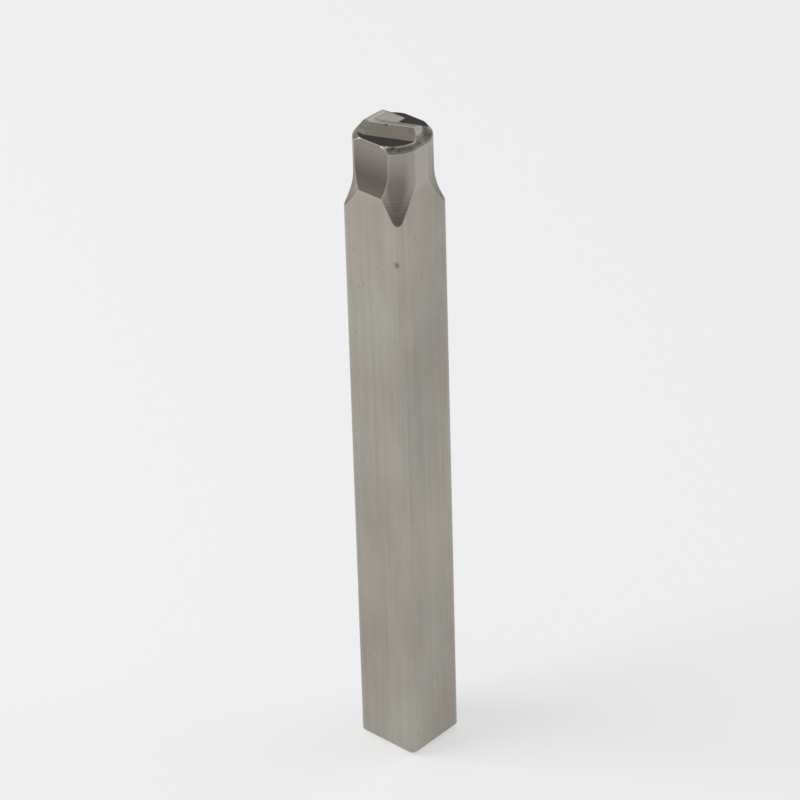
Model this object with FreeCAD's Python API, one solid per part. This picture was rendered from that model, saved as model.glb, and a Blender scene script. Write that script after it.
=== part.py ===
import FreeCAD, Part
import math
import os

os.makedirs("parts", exist_ok=True)

# Driving dimensions, in mm. The punch stands on its struck end at z = 0.

# Square shank
SHANK = 6.35              # side of the square
LENGTH = 62.0             # struck end to the face of the digit
EDGE_ROUND = 0.65         # rounding of the four long edges
STRUCK_CHAMFER = 0.5      # chamfer round the struck end

# Scooped corners of the neck
NECK_LENGTH = 7.6         # digit face down to the tips of the corner tongues
CORNER_REACH = 3.35       # long axis to the outermost line of a neck corner
FORM_RADIUS = 2.79        # rounding of the neck corners, seen from the end
RUN_OUT_LONG = 8.9        # run-out radius, front and back corners
RUN_OUT_SHORT = 6.9       # run-out radius, left and right corners

# Flats on two sides of the neck
FLAT_DEPTH = 0.42         # how far each flat lies under the shank face
FLAT_LENGTH = 5.5         # digit face down to the lower edge of the flats
FLAT_RUN_OUT = 8.0        # run-out radius at the lower end of the flats

# Pad that carries the digit
PAD_DROP = 0.73           # digit face down to the pad
PAD_BEVEL = 0.34          # width of the bevel round the pad, seen from the end
PAD_BEVEL_DROP = 0.44     # height of that bevel

# Mirrored 7
DIGIT_HEIGHT = 3.95
DIGIT_WIDTH = 2.15
STROKE = 0.49             # width of the strokes at the face
FOOT = 0.39               # side of the foot, from the middle of the digit
FLANK = 1.1               # how far the flanks spread before they meet the pad

# Values that follow from the dimensions

HALF = SHANK / 2
TIP_Z = LENGTH - NECK_LENGTH
FLAT_START_Z = LENGTH - FLAT_LENGTH
PAD_Z = LENGTH - PAD_DROP
OUTSIDE = 2 * SHANK       # reach of the cutting shapes beyond the steel
ABOVE = LENGTH + SHANK
# centre of the corner rounding, from both middle planes
FORM_CENTRE = (CORNER_REACH - FORM_RADIUS) / math.sqrt(2)
# where the rounding would end level with the sides
FORM_SIDE = FORM_CENTRE + FORM_RADIUS
# depth of the scoop, from the rounded corner of the shank
CORNER_DEPTH = (HALF - EDGE_ROUND) * math.sqrt(2) + EDGE_ROUND - CORNER_REACH


def reach_at(radius, distance):
    """Half the length of a chord at this distance from the centre."""
    return math.sqrt(max(radius ** 2 - distance ** 2, 0))


def run_out_height(radius, depth):
    """Height over which a round cutter of this radius reaches this depth."""
    return reach_at(radius, radius - depth)


def shank():
    """Square bar with rounded long edges and a chamfered struck end."""
    base = FreeCAD.Vector(-HALF, -HALF, 0)
    bar = Part.makeBox(SHANK, SHANK, LENGTH, base)
    end_edges = []
    for edge in bar.Edges:
        if edge.BoundBox.ZMax < 1e-6:
            end_edges.append(edge)
    bar = bar.makeChamfer(STRUCK_CHAMFER, end_edges)
    corner_edges = []
    for edge in bar.Edges:
        if edge.BoundBox.ZLength > STRUCK_CHAMFER / 2:
            corner_edges.append(edge)
    return bar.makeFillet(EDGE_ROUND, corner_edges)


def corner_cutter(side_x, side_y, run_out):
    """Concave round form, swept up one corner from a curved run-out."""
    outward = FreeCAD.Vector(side_x, side_y, 0)
    outward.normalize()
    across = FreeCAD.Vector(-outward.y, outward.x, 0)
    level = TIP_Z + run_out_height(run_out, CORNER_DEPTH)
    axis_distance = CORNER_REACH + run_out

    def place(along, sideways):
        point = outward * along + across * sideways
        point.z = level
        return point

    # the rounding takes in a quarter turn and goes on straight past the middle
    end_side = FORM_RADIUS / math.sqrt(2)
    end_along = FORM_CENTRE * math.sqrt(2) + end_side
    past = FORM_CENTRE * math.sqrt(2) / 2 + 0.1
    back = CORNER_REACH + run_out * 0.9
    form = Part.Arc(
        place(end_along, -end_side),
        place(CORNER_REACH, 0),
        place(end_along, end_side),
    ).toShape()
    straight = Part.makePolygon([
        place(end_along, end_side),
        place(end_along - past, end_side + past),
        place(back, end_side + past),
        place(back, -end_side - past),
        place(end_along - past, -end_side - past),
        place(end_along, -end_side),
    ])
    profile = Part.Face(Part.Wire([form] + straight.Edges))
    # the lower quarter of the round cutter, then the straight scoop above it
    lower = profile.revolve(place(axis_distance, 0), across, -90)
    upper = profile.extrude(FreeCAD.Vector(0, 0, ABOVE - level))
    return lower.fuse(upper)


def flat_cutter(side):
    """Flat cut on one side of the neck, with a round run-out below."""
    level = FLAT_START_Z + run_out_height(FLAT_RUN_OUT, FLAT_DEPTH)
    surface = HALF - FLAT_DEPTH
    centre = FreeCAD.Vector(-OUTSIDE, side * (surface + FLAT_RUN_OUT), level)
    wheel = Part.makeCylinder(
        FLAT_RUN_OUT, 2 * OUTSIDE, centre, FreeCAD.Vector(1, 0, 0)
    )
    near = side * surface
    far = side * (surface + FLAT_RUN_OUT)
    slab = Part.makeBox(
        2 * OUTSIDE,
        abs(far - near),
        ABOVE - level,
        FreeCAD.Vector(-OUTSIDE, min(near, far), level),
    )
    return wheel.fuse(slab)


def rounded_outline(inset, z):
    """Rounded square that follows the scooped corners, moved inwards."""
    side = FORM_SIDE - inset
    bend = FORM_CENTRE + (FORM_RADIUS - inset) / math.sqrt(2)
    edges = []
    turns = ((1, 0), (0, 1), (-1, 0), (0, -1))
    for cos, sin in turns:
        points = []
        for x, y in (
            (side, -FORM_CENTRE),
            (side, FORM_CENTRE),
            (bend, bend),
            (FORM_CENTRE, side),
        ):
            points.append(FreeCAD.Vector(x * cos - y * sin, x * sin + y * cos, z))
        edges.append(Part.makeLine(points[0], points[1]))
        edges.append(Part.Arc(*points[1:]).toShape())
    return Part.Wire(edges)


def offset_outline(points, distance):
    """Closed outline (clockwise) with every side moved outwards."""
    moved = []
    count = len(points)
    for index in range(count):
        before = points[index - 1]
        here = points[index]
        after = points[(index + 1) % count]
        sides = []
        for first, second in ((before, here), (here, after)):
            run = (second[0] - first[0], second[1] - first[1])
            size = math.hypot(run[0], run[1])
            sides.append((-run[1] / size, run[0] / size))
        (ax, ay), (bx, by) = sides
        scale = distance / (1 + ax * bx + ay * by)
        moved.append((here[0] + (ax + bx) * scale, here[1] + (ay + by) * scale))
    return moved


def digit_outline():
    """Mirrored 7, first value to the right and second value up the digit."""
    half_width = DIGIT_WIDTH / 2
    half_height = DIGIT_HEIGHT / 2
    under_bar = half_height - STROKE
    return [
        (-half_width, half_height),
        (half_width, half_height),
        (half_width, under_bar),
        (-half_width + STROKE, under_bar),
        (FOOT + STROKE, -half_height),
        (FOOT, -half_height),
        (-half_width, under_bar),
    ]


def digit():
    """Raised digit with flanks that go on below the pad."""
    below = 1.6
    wires = []
    for share in (below, 0):
        outline = offset_outline(digit_outline(), FLANK * share)
        z = LENGTH - PAD_DROP * share
        points = [FreeCAD.Vector(-up, right, z) for right, up in outline]
        wires.append(Part.makePolygon(points + [points[0]]))
    return Part.makeLoft(wires, True, True)


def bevel():
    """Room inside the bevel round the pad, carried on upwards and downwards."""
    wires = []
    for share in (-3, 3):
        z = PAD_Z + PAD_BEVEL_DROP * (share - 1)
        wires.append(rounded_outline(PAD_BEVEL * share, z))
    return Part.makeLoft(wires, True, True)


def block(top_z):
    """Everything up to this height."""
    corner = FreeCAD.Vector(-OUTSIDE, -OUTSIDE, -SHANK)
    return Part.makeBox(2 * OUTSIDE, 2 * OUTSIDE, top_z + SHANK, corner)


body = shank()
for side_x, side_y, run_out in (
    (1, -1, RUN_OUT_LONG),
    (-1, 1, RUN_OUT_LONG),
    (-1, -1, RUN_OUT_SHORT),
    (1, 1, RUN_OUT_SHORT),
):
    body = body.cut(corner_cutter(side_x, side_y, run_out))
for side in (-1, 1):
    body = body.cut(flat_cutter(side))
low_z = PAD_Z - 3 * PAD_BEVEL_DROP
body = body.common(block(low_z).fuse(bevel()))
punch = body.common(block(PAD_Z).fuse(digit())).removeSplitter()

if not punch.isValid() or len(punch.Solids) != 1:
    raise ValueError("the punch is not one sound solid")
punch = punch.Solids[0]
punch.exportStep("parts/number_punch.step")
print("number_punch", round(punch.Volume, 3), "mm3")
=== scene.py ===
import math

import bpy
import numpy as np
from mathutils import Matrix, Vector


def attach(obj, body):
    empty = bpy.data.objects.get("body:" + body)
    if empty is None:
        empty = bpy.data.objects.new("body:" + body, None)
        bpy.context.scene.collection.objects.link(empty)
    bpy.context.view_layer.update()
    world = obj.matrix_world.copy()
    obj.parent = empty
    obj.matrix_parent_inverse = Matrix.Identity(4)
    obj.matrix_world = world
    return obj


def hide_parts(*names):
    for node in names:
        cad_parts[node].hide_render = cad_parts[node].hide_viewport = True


# Sizes of the punch, in mm

SHANK_SIDE = 6.35
LENGTH = 62.0
EDGE_ROUND = 0.65
STRUCK_CHAMFER = 0.5

NECK_LENGTH = 7.6
CORNER_REACH = 3.35
FORM_RADIUS = 2.79
RUN_OUT_LONG = 8.9
RUN_OUT_SHORT = 6.9

FLAT_DEPTH = 0.42
FLAT_LENGTH = 5.5
FLAT_RUN_OUT = 8.0

PAD_DROP = 0.73
PAD_BEVEL = 0.34
PAD_BEVEL_DROP = 0.44

DIGIT_HEIGHT = 3.95
DIGIT_WIDTH = 2.15
STROKE = 0.49
FOOT = 0.39
FLANK = 1.1

# Softness of the edges, in mm

CUT_EDGE = 0.05           # where a scoop or flat meets the shank
DIGIT_EDGE = 0.045
RIM_ROUND = 0.05
CHAMFER_ROUND_SHARE = 0.65  # rounding along the chamfer, as a share of EDGE_ROUND
CHAMFER_START = 0.1       # depth of chamfer over which its rounding tightens

# Widths over which one finish gives way to the next, in mm

ZONE_CHANGE = 0.02        # between the cuts on the side
FACE_CHANGE = 0.05        # between the zones of the working face
EDGE_WEAR = 0.045         # worn line along the edges of the cuts
CREST_WEAR = 0.06         # worn line along the edge of the digit
RIM_WEAR = 0.16           # worn line round the pad, with a painted highlight towards the digit's foot
CORNER_WEAR_TURN = 0.06   # in radians, at the long corners of the shank

# Values that follow

MM = 0.001
HALF = SHANK_SIDE / 2
TIP_Z = LENGTH - NECK_LENGTH
PAD_Z = LENGTH - PAD_DROP
FORM_OFFSET = CORNER_REACH - FORM_RADIUS
FORM_CENTRE = FORM_OFFSET / math.sqrt(2)
FORM_SIDE = FORM_CENTRE + FORM_RADIUS
CREST = (HALF - EDGE_ROUND) * math.sqrt(2) + EDGE_ROUND
FLAT_SURFACE = HALF - FLAT_DEPTH
CHAMFER_ROUND = CHAMFER_ROUND_SHARE * EDGE_ROUND
FAR = 99.0                # stands for no cut
PAST_CUTTER = 9           # slope once a cutter has wholly left the steel
CORNER_SPAN = math.radians(75)  # how far round one scooped corner can reach

# Stain and painted shade of the cuts, in mm

STAIN_AND_SHADE_TOP = LENGTH - 1.3
STAIN_AND_SHADE_FULL = LENGTH - 4.0
STAIN_AND_SHADE_DEPTH = 0.5         # depth of cut at which it is fullest
RUN_OUT_PAINTED_SHADE = 2.6       # how quickly a run-out is painted darker as it tilts, a painted shade


def smooth_min(a, b, size):
    """The smaller of two lengths, with a rounded change-over."""
    share = np.clip(0.5 + 0.5 * (b - a) / size, 0, 1)
    return b + (a - b) * share - size * share * (1 - share)


def smooth_max(a, b, size):
    return -smooth_min(-a, -b, size)


def run_out(height_below, radius):
    """How far a round cutter has left the steel, below its straight part."""
    drop = np.clip(height_below, 0, radius)
    past = np.maximum(height_below - radius, 0)
    return radius - np.sqrt(radius ** 2 - drop ** 2) + past * PAST_CUTTER


def run_out_height(radius, depth):
    return math.sqrt(radius ** 2 - (radius - depth) ** 2)


LONG_LEVEL = TIP_Z + run_out_height(RUN_OUT_LONG, CREST - CORNER_REACH)
SHORT_LEVEL = TIP_Z + run_out_height(RUN_OUT_SHORT, CREST - CORNER_REACH)
FLAT_LEVEL = LENGTH - FLAT_LENGTH + run_out_height(FLAT_RUN_OUT, FLAT_DEPTH)

# turn of each neck corner, with its run-out radius and the height where it starts
NECK_CORNERS = (
    (-45, RUN_OUT_LONG, LONG_LEVEL),
    (135, RUN_OUT_LONG, LONG_LEVEL),
    (45, RUN_OUT_SHORT, SHORT_LEVEL),
    (-135, RUN_OUT_SHORT, SHORT_LEVEL),
)


def shank_reach(turn, lead_in):
    """Axis to the skin of the rounded square, drawn in by the chamfer below it."""
    folded = np.abs((turn + math.pi / 4) % (math.pi / 2) - math.pi / 4)
    side = HALF - lead_in
    flat = side / np.cos(folded)
    # the level section of the rounding is tighter along the sloping chamfer edges
    tighter = np.clip(lead_in / CHAMFER_START, 0, 1)
    rounding = EDGE_ROUND + (CHAMFER_ROUND - EDGE_ROUND) * tighter
    centre = side - rounding
    along = centre * (np.cos(folded) + np.sin(folded))
    across = centre * (np.cos(folded) - np.sin(folded))
    arc = along + np.sqrt(np.maximum(rounding ** 2 - across ** 2, 0))
    on_arc = side * np.tan(folded) > centre
    return np.where(on_arc, arc, flat)


def corner_reach(turn, corner_turn, shift):
    """Axis to the skin of one scooped corner, with the form moved outwards."""
    off = (turn - corner_turn + math.pi) % (2 * math.pi) - math.pi
    centre = FORM_OFFSET + shift
    sideways = centre * np.sin(off)
    round_reach = centre * np.cos(off) + np.sqrt(
        np.maximum(FORM_RADIUS ** 2 - sideways ** 2, 0)
    )
    lean = np.maximum(np.cos(off) + np.abs(np.sin(off)), 0.1)
    straight_reach = (centre + FORM_RADIUS * math.sqrt(2)) / lean
    on_straight = straight_reach * np.abs(np.sin(off)) > FORM_RADIUS / math.sqrt(2)
    reach = np.where(on_straight, straight_reach, round_reach)
    return np.where(np.abs(off) < CORNER_SPAN, reach, FAR)


def flat_reach(turn, height):
    """Axis to the two flats of the neck."""
    surface = FLAT_SURFACE + run_out(FLAT_LEVEL - height, FLAT_RUN_OUT)
    return surface / np.maximum(np.abs(np.sin(turn)), 0.05)


def skin(turn, height):
    """Distance of the skin from the axis, masks of what cut it there, and a mask of
    stain and painted shade.
    """
    lead_in = np.maximum(STRUCK_CHAMFER - height, 0)
    square = shank_reach(turn, lead_in)
    corners = np.full_like(square, FAR)
    slope = np.zeros_like(square)
    for degrees, radius, level in NECK_CORNERS:
        below = level - height
        reach = corner_reach(turn, math.radians(degrees), run_out(below, radius))
        slope = np.where(reach < corners, np.clip(below / radius, 0, 1), slope)
        corners = np.minimum(corners, reach)
    flats = flat_reach(turn, height)
    ordered = np.sort(np.stack([square, corners, flats]), axis=0)
    scooped = np.clip((np.minimum(square, flats) - corners) / ZONE_CHANGE + 0.5, 0, 1)
    milled = np.clip((np.minimum(square, corners) - flats) / ZONE_CHANGE + 0.5, 0, 1)
    # the cut steel is painted darker down the neck, most of all where it is cut deepest
    # and where a run-out tilts up: partly stain, partly painted shade
    lower = np.clip((STAIN_AND_SHADE_TOP - height) / (STAIN_AND_SHADE_TOP - STAIN_AND_SHADE_FULL), 0, 1)
    deep = np.clip((square - np.minimum(corners, flats)) / STAIN_AND_SHADE_DEPTH, 0, 1)
    run_out_painted_shade = np.clip(slope * RUN_OUT_PAINTED_SHADE, 0, 1)
    stain_and_painted_shade = np.maximum(lower * deep, run_out_painted_shade) * scooped + lower * milled
    folded = np.abs((turn + math.pi / 4) % (math.pi / 2) - math.pi / 4)
    start = math.atan((HALF - EDGE_ROUND) / HALF)
    marks = {
        "scoop": scooped,
        "flat": milled,
        "stain_and_painted_shade": stain_and_painted_shade,
        "edge": np.clip(1 - (ordered[1] - ordered[0]) / EDGE_WEAR, 0, 1),
        "corner": np.clip((folded - start) / CORNER_WEAR_TURN, 0, 1)
        * (1 - np.maximum(scooped, milled)),
    }
    reach = smooth_min(smooth_min(square, corners, CUT_EDGE), flats, CUT_EDGE)
    return reach, marks


def inside_rim(x, y):
    """How far a point lies inside the rounded outline of the neck."""
    ax, ay = np.abs(x), np.abs(y)
    corner = FORM_RADIUS - np.hypot(ax - FORM_CENTRE, ay - FORM_CENTRE)
    side = FORM_SIDE - np.maximum(ax, ay)
    return np.where((ax > FORM_CENTRE) & (ay > FORM_CENTRE), corner, side)


def from_digit(x, y):
    """Level distance from the face of the mirrored 7, negative inside it."""
    right, up = y, -x
    half_width, half_height = DIGIT_WIDTH / 2, DIGIT_HEIGHT / 2
    under_bar = half_height - STROKE
    run_x = FOOT + half_width
    run_y = half_height + under_bar
    size = math.hypot(run_x, run_y)
    # signed distance from the line along the left side of the stem
    left_side = ((under_bar - up) * run_x - (right + half_width) * run_y) / size
    stem_width = STROKE * run_y / size
    bar = np.maximum(np.abs(right) - half_width, left_side)
    bar = np.maximum(bar, np.maximum(up - half_height, under_bar - up))
    stem = np.maximum(left_side, -left_side - stem_width)
    stem = np.maximum(stem, np.maximum(-half_height - up, up - half_height))
    stem = np.maximum(stem, -half_width - right)
    return np.minimum(bar, stem)


def working_face(x, y):
    """Height of the pad, its bevel and the digit, with masks for the finish and for
    painted highlights.
    """
    slope = PAD_DROP / FLANK
    flank = LENGTH - slope * from_digit(x, y)
    digit = smooth_min(flank, np.full_like(flank, LENGTH), DIGIT_EDGE)
    pad = np.full_like(flank, PAD_Z)
    relief = smooth_max(digit, pad, DIGIT_EDGE)
    bevel = PAD_Z + PAD_BEVEL_DROP * (inside_rim(x, y) / PAD_BEVEL - 1)
    height = smooth_min(relief, bevel, DIGIT_EDGE)
    below_bevel = np.clip((bevel - relief) / FACE_CHANGE, 0, 1)
    above_pad = np.clip((relief - PAD_Z - 0.02) / FACE_CHANGE, 0, 1)
    under_face = np.clip((LENGTH - flank) / FACE_CHANGE, 0, 1)
    on_flank = above_pad * below_bevel * under_face
    # flanks that face the foot of the digit get a painted highlight; the rim round the
    # pad is worn, with a painted highlight growing towards the foot
    step = 0.01
    turned = (from_digit(x + step, y) - from_digit(x - step, y)) / (2 * step)
    faces_foot = np.clip((turned - 0.7) / 0.2, 0, 1)
    # the rim is painted paler towards the digit's foot: a painted highlight over the
    # wear
    towards_foot = np.clip(x / 1.5 - 0.5, 0, 1)
    beside_pad = np.clip((PAD_Z + 0.15 - relief) / 0.1, 0, 1)
    rim_wear_and_highlight = (beside_pad + towards_foot) / 2
    # the bar's face is rubbed brighter than the stem's
    bar_rubbed = 0.3 + 0.7 * np.clip(-x - 0.6, 0, 1)
    digit_crest = np.clip(1 - np.abs(flank - LENGTH) / CREST_WEAR, 0, 1)
    rim_crest = np.clip(1 - np.abs(relief - bevel) / RIM_WEAR, 0, 1)
    marks = {
        "pad": np.clip((PAD_Z + 0.06 - relief) / FACE_CHANGE, 0, 1) * below_bevel,
        "flank": on_flank,
        "bevel": 1 - below_bevel,
        "land": np.clip((flank - LENGTH) / 0.03, 0, 1) * below_bevel * bar_rubbed,
        "foot_flank_highlight": on_flank * faces_foot,
        "crest": np.maximum(digit_crest * below_bevel, rim_crest * rim_wear_and_highlight),
    }
    return height, marks


COLUMNS = 320
STRUCK_RINGS = 12
PAD_RINGS = 74            # rim to the middle of the working face
RIM_TO_AXIS = 3.12        # the way inwards, on the scale of the rings
LAST_RING = 3.1
RIM_CREST = 0.6           # how worn the rounded rim is
NICK_ROWS = (50.1, 52.6)  # heights between which the rows lie close, for the nick

# masks kept on the mesh, for the finish of each zone, with painted shade on the cuts
# and painted highlights on the digit and rim
MARKS = (
    "scoop", "flat", "stain_and_painted_shade", "edge", "corner", "pad", "flank", "bevel", "crest",
    "land", "foot_flank_highlight", "struck",
)


def row_heights():
    """Heights of the rows on the side, closest together on the neck."""
    parts = (
        np.linspace(0.0, STRUCK_CHAMFER + 0.1, 9),
        np.linspace(STRUCK_CHAMFER + 0.1, NICK_ROWS[0], 40)[1:],
        np.linspace(*NICK_ROWS, 27)[1:],
        np.linspace(NICK_ROWS[1], TIP_Z - 1.0, 4)[1:],
        np.linspace(TIP_Z - 1.0, PAD_Z - PAD_BEVEL_DROP - 0.3, 132)[1:],
    )
    return np.concatenate(parts)


def build_punch():
    """Rings of points up the side, over the rim and across the working face."""
    turn = np.arange(COLUMNS) * 2 * math.pi / COLUMNS
    cos, sin = np.cos(turn), np.sin(turn)
    points = []
    stores = {name: [] for name in MARKS}

    def add_ring(reach, height, marks):
        points.append(np.stack([reach * cos, reach * sin, height], axis=1))
        for name, store in stores.items():
            store.append(np.broadcast_to(marks.get(name, 0.0), turn.shape))

    # struck end, from near its middle outwards
    end_reach = skin(turn, np.zeros(COLUMNS))[0]
    for share in np.linspace(0.04, 0.98, STRUCK_RINGS):
        add_ring(end_reach * share, np.zeros(COLUMNS), {"struck": 1.0})
    for height in row_heights():
        level = np.full(COLUMNS, height)
        reach, marks = skin(turn, level)
        marks["struck"] = np.clip(1 - height / STRUCK_CHAMFER, 0, 1)
        add_ring(reach, level, marks)

    # last rows of the side, up to the rim
    below_rim = row_heights()[-1]
    neck, neck_marks = skin(turn, np.full(COLUMNS, PAD_Z))
    rim_height = working_face(neck * cos, neck * sin)[0]
    for share in np.linspace(0.2, 1.0, 5):
        height = below_rim + (rim_height - RIM_ROUND - below_rim) * share
        add_ring(neck, height, neck_marks)
    rings_in = np.concatenate([
        RIM_ROUND * (1 - np.cos(np.linspace(0, math.pi / 2, 5)[1:])),
        np.linspace(RIM_ROUND, LAST_RING, PAD_RINGS)[1:],
    ])
    for inward in rings_in:
        reach = neck * (1 - inward / RIM_TO_AXIS)
        height, marks = working_face(reach * cos, reach * sin)
        lost = RIM_ROUND - inward
        if lost > 0:
            height = height - (RIM_ROUND - math.sqrt(RIM_ROUND ** 2 - lost ** 2))
            marks["crest"] = np.maximum(marks["crest"], RIM_CREST)
        add_ring(reach, height, marks)

    verts = np.concatenate(points)
    rings = len(points)
    index = np.arange(rings * COLUMNS).reshape(rings, COLUMNS)
    following = np.roll(index, -1, axis=1)
    quads = np.stack(
        [index[:-1], following[:-1], following[1:], index[1:]], axis=-1
    ).reshape(-1, 4)
    faces = quads.tolist()
    foot, top = len(verts), len(verts) + 1
    middle = working_face(np.zeros(1), np.zeros(1))[0][0]
    verts = np.concatenate([verts, [[0, 0, 0], [0, 0, middle]]]) * MM
    for column in range(COLUMNS):
        beside = (column + 1) % COLUMNS
        faces.append((foot, int(index[0, beside]), int(index[0, column])))
        faces.append((top, int(index[-1, column]), int(index[-1, beside])))

    mesh = bpy.data.meshes.new("punch_body")
    mesh.from_pydata(verts.tolist(), [], faces)
    mesh.shade_smooth()
    for name, store in stores.items():
        layer = mesh.attributes.new(name, "FLOAT", "POINT")
        values = np.concatenate([np.concatenate(store), [0, 0]])
        layer.data.foreach_set("value", values.astype(np.float32))
    return mesh


# linear colours of the steel

GROUND_BRIGHT = (0.475, 0.445, 0.395, 1)
GROUND_PLAIN = (0.395, 0.368, 0.325, 1)
STREAK = (0.80, 0.80, 0.79, 1)
WARM_TINT = (1.0, 0.975, 0.95, 1)
COOL_TINT = (0.965, 0.99, 1.0, 1)
PIT = (0.55, 0.52, 0.49, 1)
DIRT = (0.07, 0.062, 0.052, 1)
CUT_TOP = (0.30, 0.268, 0.235, 1)
# low colours of the cuts: partly stain, partly painted shade on their lower, deeper and
# tilting parts
SCOOP_LOW = (0.25, 0.22, 0.198, 1)
FLAT_LOW = (0.14, 0.123, 0.106, 1)
FLANK_DULL = (0.235, 0.225, 0.205, 1)
FLANK_BROWN = (0.245, 0.215, 0.18, 1)
BEVEL_DARK = (0.15, 0.132, 0.105, 1)
BEVEL_PALE = (0.31, 0.285, 0.25, 1)
PAD_DARK = (0.06, 0.057, 0.052, 1)
PAD_PALE = (0.15, 0.143, 0.132, 1)
# pale worn steel, also the colour of the painted highlights
WORN_AND_HIGHLIGHT = (0.66, 0.635, 0.585, 1)
RUBBED = (0.84, 0.82, 0.775, 1)

# how strongly each finish shows over the one below it

TINT_SHARE = 0.8
STREAK_SHARE = 0.6
PIT_SHARE = 0.35
CORNER_SHARE = 0.06
CUTTER_SHARE = 0.3
GRAIN_SHARE = 0.7
EDGE_SHARE = 0.26
CREST_SHARE = 0.65
FOOT_FLANK_HIGHLIGHT_SHARE = 0.6
DIRT_SHARE = 1.3

# roughness of the ground steel, and what each finish adds to it

ROUGH_PLAIN = 0.27
ROUGH_GRIT = 0.18
ROUGH_PAD = 0.12
ROUGH_FLANK = 0.1
ROUGH_LAND = 0.16
ROUGH_STAIN = 0.1

BUMP_STRENGTH = 0.35
BUMP_HEIGHT = 0.03        # mm


def steel_material():
    """Ground tool steel: grind lines on the shank, cutter lines on the neck."""
    material = bpy.data.materials.new("ground_steel")
    material.use_nodes = True
    nodes, links = material.node_tree.nodes, material.node_tree.links
    shader = nodes["Principled BSDF"]
    shader.inputs["Metallic"].default_value = 1.0

    def add(kind, **values):
        node = nodes.new(kind)
        for key, value in values.items():
            setattr(node, key, value)
        return node

    def noise(scale, stretch, detail=3.0, rough=0.6):
        mapping = add("ShaderNodeMapping")
        mapping.inputs["Scale"].default_value = stretch
        links.new(place.outputs["Object"], mapping.inputs["Vector"])
        texture = add("ShaderNodeTexNoise")
        texture.inputs["Scale"].default_value = scale
        texture.inputs["Detail"].default_value = detail
        texture.inputs["Roughness"].default_value = rough
        links.new(mapping.outputs["Vector"], texture.inputs["Vector"])
        return texture.outputs["Fac"]

    def spread(value):
        """Stretch the middle third of a noise out to the whole of 0 to 1."""
        return maths("MULTIPLY", maths("SUBTRACT", value, 0.34), 3.1, clamp=True)

    def mask(name):
        node = add("ShaderNodeAttribute", attribute_name=name)
        return node.outputs["Fac"]

    def maths(operation, a, b, clamp=False):
        node = add("ShaderNodeMath", operation=operation, use_clamp=clamp)
        for socket, value in zip(node.inputs, (a, b)):
            if isinstance(value, (int, float)):
                socket.default_value = value
            else:
                links.new(value, socket)
        return node.outputs["Value"]

    def blend(factor, a, b, mode="MIX"):
        node = add("ShaderNodeMix", data_type="RGBA", blend_type=mode)
        wanted = ("Factor", "A", "B")
        sockets = [s for s in node.inputs if s.enabled and s.name in wanted]
        for socket, value in zip(sockets, (factor, a, b)):
            if isinstance(value, (int, float, tuple)):
                socket.default_value = value
            else:
                links.new(value, socket)
        return [s for s in node.outputs if s.enabled][0]

    place = add("ShaderNodeTexCoord")
    streaks = spread(noise(900, (2.4, 2.4, 0.05), 5, 0.7))
    clouds = spread(noise(220, (1, 1, 0.5), 3, 0.5))
    tints = spread(noise(130, (1, 1, 0.6), 2, 0.5))
    pits = maths("GREATER_THAN", noise(2300, (1, 1, 1), 2, 0.5), 0.71)
    cutter = noise(520, (0.35, 0.35, 7), 3, 0.55)
    grit = noise(5200, (1, 1, 1), 4, 0.7)
    grain = spread(noise(1500, (0.35, 1, 4), 4, 0.6))
    torn = spread(noise(1700, (1, 1, 1.6), 4, 0.65))
    scoop, flat, pad = mask("scoop"), mask("flat"), mask("pad")
    machined = maths("MAXIMUM", scoop, flat)

    colour = blend(clouds, GROUND_PLAIN, GROUND_BRIGHT)
    colour = blend(TINT_SHARE, colour, blend(tints, WARM_TINT, COOL_TINT), "MULTIPLY")
    colour = blend(maths("MULTIPLY", streaks, STREAK_SHARE), colour, STREAK, "MULTIPLY")
    colour = blend(maths("MULTIPLY", pits, PIT_SHARE), colour, PIT, "MULTIPLY")
    colour = blend(maths("MULTIPLY", mask("corner"), CORNER_SHARE), colour, WORN_AND_HIGHLIGHT)
    cut_top = blend(flat, colour, CUT_TOP)
    # stain and painted shade: the cuts are painted darker towards their low, deep and
    # tilted parts
    cut = blend(mask("stain_and_painted_shade"), cut_top, blend(flat, SCOOP_LOW, FLAT_LOW))
    cut = blend(maths("MULTIPLY", cutter, CUTTER_SHARE), cut, STREAK, "MULTIPLY")
    colour = blend(machined, colour, cut)
    dull = blend(clouds, FLANK_BROWN, FLANK_DULL)
    dull = blend(maths("MULTIPLY", grain, GRAIN_SHARE), dull, STREAK, "MULTIPLY")
    colour = blend(mask("flank"), colour, dull)
    colour = blend(mask("bevel"), colour, blend(torn, BEVEL_DARK, BEVEL_PALE))
    colour = blend(pad, colour, blend(grit, PAD_DARK, PAD_PALE))
    colour = blend(maths("MULTIPLY", mask("edge"), EDGE_SHARE), colour, WORN_AND_HIGHLIGHT)
    # worn crests; on the rim, partly a painted highlight towards the digit's foot
    colour = blend(maths("MULTIPLY", mask("crest"), CREST_SHARE), colour, WORN_AND_HIGHLIGHT)
    colour = blend(mask("land"), colour, RUBBED)
    # painted highlight: the flanks that face the digit's foot are made paler
    colour = blend(maths("MULTIPLY", mask("foot_flank_highlight"), FOOT_FLANK_HIGHLIGHT_SHARE), colour, WORN_AND_HIGHLIGHT)
    dirt = maths("MULTIPLY", mask("dirt"), DIRT_SHARE, clamp=True)
    colour = blend(dirt, colour, DIRT)
    colour = blend(mask("struck"), colour, blend(clouds, GROUND_PLAIN, WORN_AND_HIGHLIGHT))
    links.new(colour, shader.inputs["Base Color"])

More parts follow.
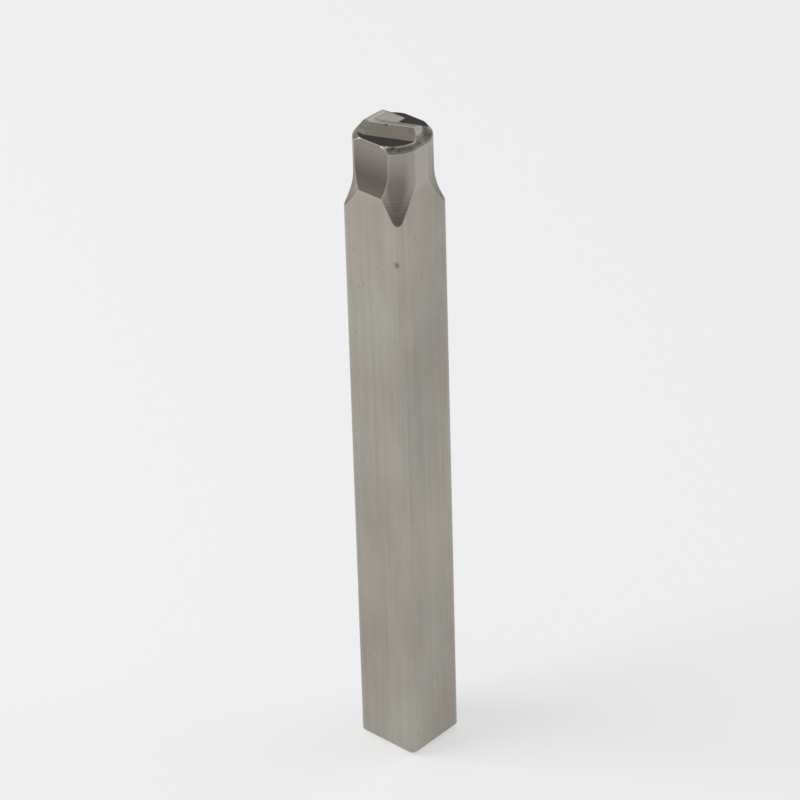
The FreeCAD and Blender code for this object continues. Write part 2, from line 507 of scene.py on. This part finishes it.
    rough = maths("ADD", ROUGH_PLAIN, maths("MULTIPLY", grit, ROUGH_GRIT))
    rough = maths("ADD", rough, maths("MULTIPLY", pad, ROUGH_PAD))
    rough = maths("ADD", rough, maths("MULTIPLY", mask("flank"), ROUGH_FLANK))
    rough = maths("ADD", rough, maths("MULTIPLY", mask("land"), ROUGH_LAND))
    rough = maths("ADD", rough, maths("MULTIPLY", mask("stain_and_painted_shade"), ROUGH_STAIN))
    links.new(rough, shader.inputs["Roughness"])

    lines = maths("MULTIPLY", streaks, maths("SUBTRACT", 1.0, machined))
    lines = maths("ADD", lines, maths("MULTIPLY", cutter, machined))
    lines = maths("ADD", lines, maths("MULTIPLY", grit, pad))
    lines = maths("ADD", lines, maths("MULTIPLY", grain, mask("flank")))
    bump = add("ShaderNodeBump")
    bump.inputs["Strength"].default_value = BUMP_STRENGTH
    bump.inputs["Distance"].default_value = BUMP_HEIGHT * MM
    links.new(lines, bump.inputs["Height"])
    links.new(bump.outputs["Normal"], shader.inputs["Normal"])
    return material


# relief left by the cutter, the grinder and use, inwards but for the burr

CUTTER_PITCH = 0.30       # mm
CUTTER_DEPTH = 0.006
GRIND_DEPTH = 0.003
STRUCK_DEPTH = 0.03
TORN_DEPTH = 0.035        # on the bevel round the pad
MARK_SEED = 7.0

# place, size and depth of each small mark, in mm, and how dark it has gone;
# a burr stands proud
SMALL_MARKS = {
    "Nick": ((2.84, -3.09, 50.8), 0.42, 0.13, 0.55),
    "Speck": ((3.18, 1.3, 51.75), 0.24, 0.05, 0.0),
    "Rim Burr": ((1.69, -2.52, 61.22), 0.28, -0.05, 0.0),
    "Rim Hollow": ((2.1, -2.3, 61.15), 0.34, 0.09, 0.8),
    "Stem Chip": ((-0.15, -0.55, 61.95), 0.22, 0.14, 1.0),
}


def tool_mark_tree():
    """Sinks cutter ridges, grind lines, hammer wear and small marks into the skin."""
    tree = bpy.data.node_groups.new("tool_marks", "GeometryNodeTree")
    sockets = tree.interface

    def take(name, kind, value=None):
        socket = sockets.new_socket(name, in_out="INPUT", socket_type=kind)
        if value is not None:
            socket.default_value = value

    take("Geometry", "NodeSocketGeometry")
    take("Cutter Pitch", "NodeSocketFloat", CUTTER_PITCH * MM)
    take("Cutter Depth", "NodeSocketFloat", CUTTER_DEPTH * MM)
    take("Grind Depth", "NodeSocketFloat", GRIND_DEPTH * MM)
    take("Struck Depth", "NodeSocketFloat", STRUCK_DEPTH * MM)
    take("Torn Depth", "NodeSocketFloat", TORN_DEPTH * MM)
    take("Seed", "NodeSocketFloat", MARK_SEED)
    for name, (middle, size, depth, dark) in SMALL_MARKS.items():
        take(name + " Place", "NodeSocketVector", [part * MM for part in middle])
        take(name + " Size", "NodeSocketFloat", size * MM)
        take(name + " Depth", "NodeSocketFloat", depth * MM)
        take(name + " Darkness", "NodeSocketFloat", dark)
    take("Material", "NodeSocketMaterial")
    sockets.new_socket("Geometry", in_out="OUTPUT", socket_type="NodeSocketGeometry")
    links = tree.links
    given = tree.nodes.new("NodeGroupInput").outputs
    position = tree.nodes.new("GeometryNodeInputPosition").outputs["Position"]
    normal = tree.nodes.new("GeometryNodeInputNormal").outputs["Normal"]

    def feed(socket, value):
        if isinstance(value, (int, float, tuple)):
            socket.default_value = value
        else:
            links.new(value, socket)

    def maths(operation, a, b=0.0):
        node = tree.nodes.new("ShaderNodeMath")
        node.operation = operation
        feed(node.inputs[0], a)
        feed(node.inputs[1], b)
        return node.outputs["Value"]

    def vector(operation, a, b, result="Vector"):
        node = tree.nodes.new("ShaderNodeVectorMath")
        node.operation = operation
        feed(node.inputs[0], a)
        feed(node.inputs["Scale"] if operation == "SCALE" else node.inputs[1], b)
        return node.outputs[result]

    def noise(stretch, scale):
        node = tree.nodes.new("ShaderNodeTexNoise")
        node.noise_dimensions = "4D"
        feed(node.inputs["Vector"], vector("MULTIPLY", position, stretch))
        feed(node.inputs["W"], given["Seed"])
        node.inputs["Scale"].default_value = scale
        node.inputs["Detail"].default_value = 2.0
        return [socket for socket in node.outputs if socket.type == "VALUE"][0]

    def mark(name):
        node = tree.nodes.new("GeometryNodeInputNamedAttribute")
        node.data_type = "FLOAT"
        node.inputs["Name"].default_value = name
        return node.outputs["Attribute"]

    split = tree.nodes.new("ShaderNodeSeparateXYZ")
    feed(split.inputs["Vector"], position)
    wander = maths("MULTIPLY", noise((1.0, 1.0, 1.0), 300.0), 5.0)
    rings = maths("DIVIDE", split.outputs["Z"], given["Cutter Pitch"])
    turns = maths("MULTIPLY", rings, math.tau)
    wave = maths("SINE", maths("ADD", turns, wander))
    ridge = maths("MULTIPLY", maths("ADD", wave, 1.0), 0.5)
    cut = maths("MAXIMUM", mark("scoop"), mark("flat"))
    sunk = maths("MULTIPLY", maths("MULTIPLY", ridge, cut), given["Cutter Depth"])
    face = maths("MAXIMUM", mark("pad"), mark("flank"))
    ground = maths("SUBTRACT", 1.0, maths("MAXIMUM", cut, face))
    lines = maths("MULTIPLY", noise((1.0, 1.0, 0.04), 1500.0), ground)
    sunk = maths("ADD", sunk, maths("MULTIPLY", lines, given["Grind Depth"]))
    blows = maths("MULTIPLY", noise((1.0, 1.0, 1.0), 700.0), mark("struck"))
    sunk = maths("ADD", sunk, maths("MULTIPLY", blows, given["Struck Depth"]))
    torn = maths("MULTIPLY", noise((1.0, 1.0, 1.6), 2300.0), mark("bevel"))
    sunk = maths("ADD", sunk, maths("MULTIPLY", torn, given["Torn Depth"]))
    dirt = 0.0
    for name in SMALL_MARKS:
        away = vector("DISTANCE", position, given[name + " Place"], "Value")
        near = maths("SUBTRACT", 1.0, maths("DIVIDE", away, given[name + " Size"]))
        bowl = maths("POWER", maths("MAXIMUM", near, 0.0), 1.5)
        sunk = maths("ADD", sunk, maths("MULTIPLY", bowl, given[name + " Depth"]))
        dirt = maths("ADD", dirt, maths("MULTIPLY", bowl, given[name + " Darkness"]))

    store = tree.nodes.new("GeometryNodeStoreNamedAttribute")
    store.data_type = "FLOAT"
    store.inputs["Name"].default_value = "dirt"
    feed(store.inputs["Geometry"], given["Geometry"])
    feed(store.inputs["Value"], dirt)
    move = tree.nodes.new("GeometryNodeSetPosition")
    feed(move.inputs["Geometry"], store.outputs["Geometry"])
    feed(move.inputs["Offset"], vector("SCALE", normal, maths("MULTIPLY", sunk, -1.0)))
    real = tree.nodes.new("GeometryNodeRealizeInstances")
    feed(real.inputs["Geometry"], move.outputs["Geometry"])
    finish = tree.nodes.new("GeometryNodeSetMaterial")
    feed(finish.inputs["Geometry"], real.outputs["Geometry"])
    feed(finish.inputs["Material"], given["Material"])
    result = tree.nodes.new("NodeGroupOutput")
    feed(result.inputs["Geometry"], finish.outputs["Geometry"])
    return tree


def add_tool_marks(piece, material):
    """Run the tree on a piece and keep its result as a plain mesh."""
    tree = tool_mark_tree()
    modifier = piece.modifiers.new("tool_marks", "NODES")
    modifier.node_group = tree
    for socket in tree.interface.items_tree:
        if socket.item_type == "SOCKET" and socket.name == "Material":
            modifier[socket.identifier] = material
    depsgraph = bpy.context.evaluated_depsgraph_get()
    marked = bpy.data.meshes.new_from_object(
        piece.evaluated_get(depsgraph),
        preserve_all_data_layers=True,
        depsgraph=depsgraph,
    )
    piece.modifiers.clear()
    piece.data = marked


FLOOR_HALF = 3.0          # metres
FLOOR_PALE = (0.93, 0.93, 0.93, 1)
FLOOR_WHITE = 0.5         # share of plain white in the floor as it is seen


def make_floor():
    """Pale floor, wide enough to fill every view."""
    mesh = bpy.data.meshes.new("floor")
    corners = []
    for x, y in ((-1, -1), (1, -1), (1, 1), (-1, 1)):
        corners.append((x * FLOOR_HALF, y * FLOOR_HALF, 0))
    mesh.from_pydata(corners, [], [(0, 1, 2, 3)])
    floor = bpy.data.objects.new("floor", mesh)
    bpy.context.scene.collection.objects.link(floor)
    material = bpy.data.materials.new("pale_floor")
    material.use_nodes = True
    nodes, links = material.node_tree.nodes, material.node_tree.links
    matt = nodes.new("ShaderNodeBsdfDiffuse")
    matt.inputs["Color"].default_value = FLOOR_PALE
    glow = nodes.new("ShaderNodeEmission")
    path = nodes.new("ShaderNodeLightPath")
    seen = path.outputs["Is Camera Ray"]
    for kind in ("Is Glossy Ray", "Is Transmission Ray"):
        either = nodes.new("ShaderNodeMath")
        either.operation = "MAXIMUM"
        links.new(seen, either.inputs[0])
        links.new(path.outputs[kind], either.inputs[1])
        seen = either.outputs["Value"]
    share = nodes.new("ShaderNodeMath")
    share.operation = "MULTIPLY"
    share.inputs[1].default_value = FLOOR_WHITE
    links.new(seen, share.inputs[0])
    mixed = nodes.new("ShaderNodeMixShader")
    links.new(share.outputs["Value"], mixed.inputs["Fac"])
    links.new(matt.outputs["BSDF"], mixed.inputs[1])
    links.new(glow.outputs["Emission"], mixed.inputs[2])
    links.new(mixed.outputs["Shader"], nodes["Material Output"].inputs["Surface"])
    mesh.materials.append(material)


# camera of the photograph: where it stands (mm) and its right, up and back directions

CAMERA_PLACE = (207.62, -229.0, 230.22)
CAMERA_RIGHT = (0.751065, 0.659753, -0.025034)
CAMERA_UP = (-0.336698, 0.415363, 0.845049)
CAMERA_BACK = (0.567922, -0.626258, 0.534103)
SENSOR_WIDTH = 36         # mm
PHOTO_LENS = 101.25       # mm
CLOSER = 1.9              # the punch fills the frame instead of the whole set


def make_camera():
    data = bpy.data.cameras.new("camera")
    camera = bpy.data.objects.new("camera", data)
    bpy.context.scene.collection.objects.link(camera)
    turned = Matrix((CAMERA_RIGHT, CAMERA_UP, CAMERA_BACK)).transposed().to_4x4()
    turned.translation = Vector(CAMERA_PLACE) * MM
    camera.matrix_world = turned
    data.sensor_width = SENSOR_WIDTH
    data.lens = PHOTO_LENS * CLOSER
    data.clip_start = 0.01
    bpy.context.scene.camera = camera


WORLD_WHITE = 0.28        # strength of the even light from all round
PUNCH_MIDDLE = (0, 0, 0.03)


def softbox(name, place, size, power, aim=PUNCH_MIDDLE):
    """Square lamp, with its place, side and aim in metres and its power in watts."""
    data = bpy.data.lights.new(name, "AREA")
    data.shape = "SQUARE"
    data.size = size
    data.energy = power
    lamp = bpy.data.objects.new(name, data)
    bpy.context.scene.collection.objects.link(lamp)
    lamp.location = place
    back = Vector(place) - Vector(aim)
    lamp.rotation_euler = back.to_track_quat("Z", "Y").to_euler()


def light_scene():
    world = bpy.data.worlds.new("studio")
    bpy.context.scene.world = world
    world.use_nodes = True
    backdrop = world.node_tree.nodes["Background"]
    backdrop.inputs["Color"].default_value = (1, 1, 1, 1)
    backdrop.inputs["Strength"].default_value = WORLD_WHITE
    softbox("overhead", (-0.1, 0.0, 1.3), 1.6, 4.6)
    # aimed high, so that it lights the punch more than the floor below itself
    softbox("front_left", (-0.36, -0.4, 0.37), 0.46, 3.2, aim=(0, 0, 0.5))
    softbox("back_right", (0.5, 0.77, 0.8), 0.8, 1.6)
    bpy.context.scene.view_settings.view_transform = "Standard"


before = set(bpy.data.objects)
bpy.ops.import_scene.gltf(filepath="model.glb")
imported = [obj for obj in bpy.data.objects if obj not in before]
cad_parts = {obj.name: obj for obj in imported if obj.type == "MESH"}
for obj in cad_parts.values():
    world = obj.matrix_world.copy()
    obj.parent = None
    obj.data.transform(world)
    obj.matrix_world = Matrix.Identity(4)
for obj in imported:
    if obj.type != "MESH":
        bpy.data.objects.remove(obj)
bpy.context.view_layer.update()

punch = bpy.data.objects.new("punch", build_punch())
bpy.context.scene.collection.objects.link(punch)
add_tool_marks(punch, steel_material())
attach(punch, "root")
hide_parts("number_punch")

make_floor()
make_camera()
light_scene()
